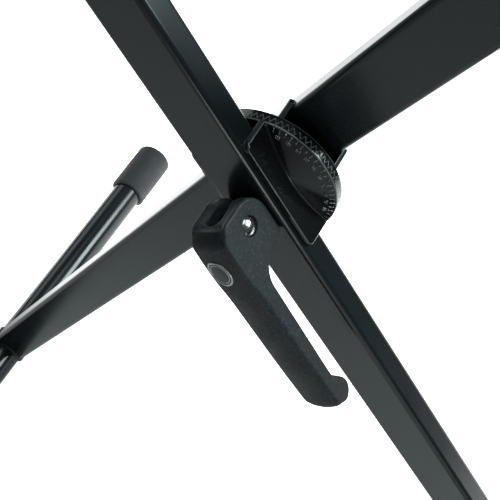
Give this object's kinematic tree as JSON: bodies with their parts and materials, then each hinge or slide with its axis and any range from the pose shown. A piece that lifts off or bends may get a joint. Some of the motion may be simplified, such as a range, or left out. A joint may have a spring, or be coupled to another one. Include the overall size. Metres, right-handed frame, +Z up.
{
  "type": "folding keyboard stand",
  "caption": "Cross-legged folding stand for a keyboard: tube legs on a toothed pivot that a cam lever clamps, with rubber-capped feet and ribbed arm grips.",
  "frame": {"origin": "on the floor under the pivot bolt, at the middle of the stand", "axes": "+Z up; +Y along the pivot bolt from the clamp lever to the lock nut; +X across the stand, towards the foot of the front leg"},
  "size_m": [0.5666, 0.534, 0.8138],
  "materials": {
    "powder_coat": "smooth gloss black powder coat on steel tube",
    "disc_enamel": "gloss black enamel on cast steel",
    "rubber": "matte black moulded rubber",
    "plated_steel": "bright zinc plate",
    "spring_steel": "plain drawn spring wire",
    "lever_plastic": "fine-grained black glass-filled nylon"
  },
  "bodies": {
    "front_frame": {"front_leg": "powder_coat", "front_leg_spacer": "plated_steel", "front_toothed_disc": "disc_enamel", "front_foot_tube": "powder_coat", "front_foot_cap_near": "rubber", "front_foot_cap_far": "rubber", "front_arm_tube": "powder_coat", "front_arm_cap_near": "rubber", "front_arm_cap_far": "rubber", "front_arm_grip_near": "rubber", "front_arm_grip_far": "rubber", "release_spring": "spring_steel"},
    "bolt_group": {"draw_bolt": "plated_steel", "rear_washer": "plated_steel", "lock_nut": "plated_steel"},
    "lever_group": {"clamp_lever": "lever_plastic", "lever_pin": "plated_steel"},
    "rear_frame": {"rear_leg": "powder_coat", "rear_leg_spacer": "plated_steel", "rear_toothed_disc": "disc_enamel", "rear_foot_tube": "powder_coat", "rear_foot_cap_near": "rubber", "rear_foot_cap_far": "rubber", "rear_arm_tube": "powder_coat", "rear_arm_cap_near": "rubber", "rear_arm_cap_far": "rubber", "rear_arm_grip_near": "rubber", "rear_arm_grip_far": "rubber"}
  },
  "joints": [
    {"name": "release_slide", "type": "slide", "parent": "front_frame", "child": "bolt_group", "axis": [0, 1, 0], "range_m": [0, 0.0025], "deforming": ["release_spring"]},
    {"name": "lever_hinge", "type": "hinge", "parent": "bolt_group", "child": "lever_group", "pos_m": [0, -0.0355, 0.42677], "axis": [-0.8387, 0, -0.5446], "range_deg": [0, 90]},
    {"name": "fold_hinge", "type": "hinge", "parent": "bolt_group", "child": "rear_frame", "pos_m": [0, 0.0095, 0.42677], "axis": [0, 1, 0], "range_deg": [-60, 45]}
  ],
  "couplings": [
    {"joint": "lever_hinge", "follows": "release_slide", "rad_per_m": 628.32}
  ]
}
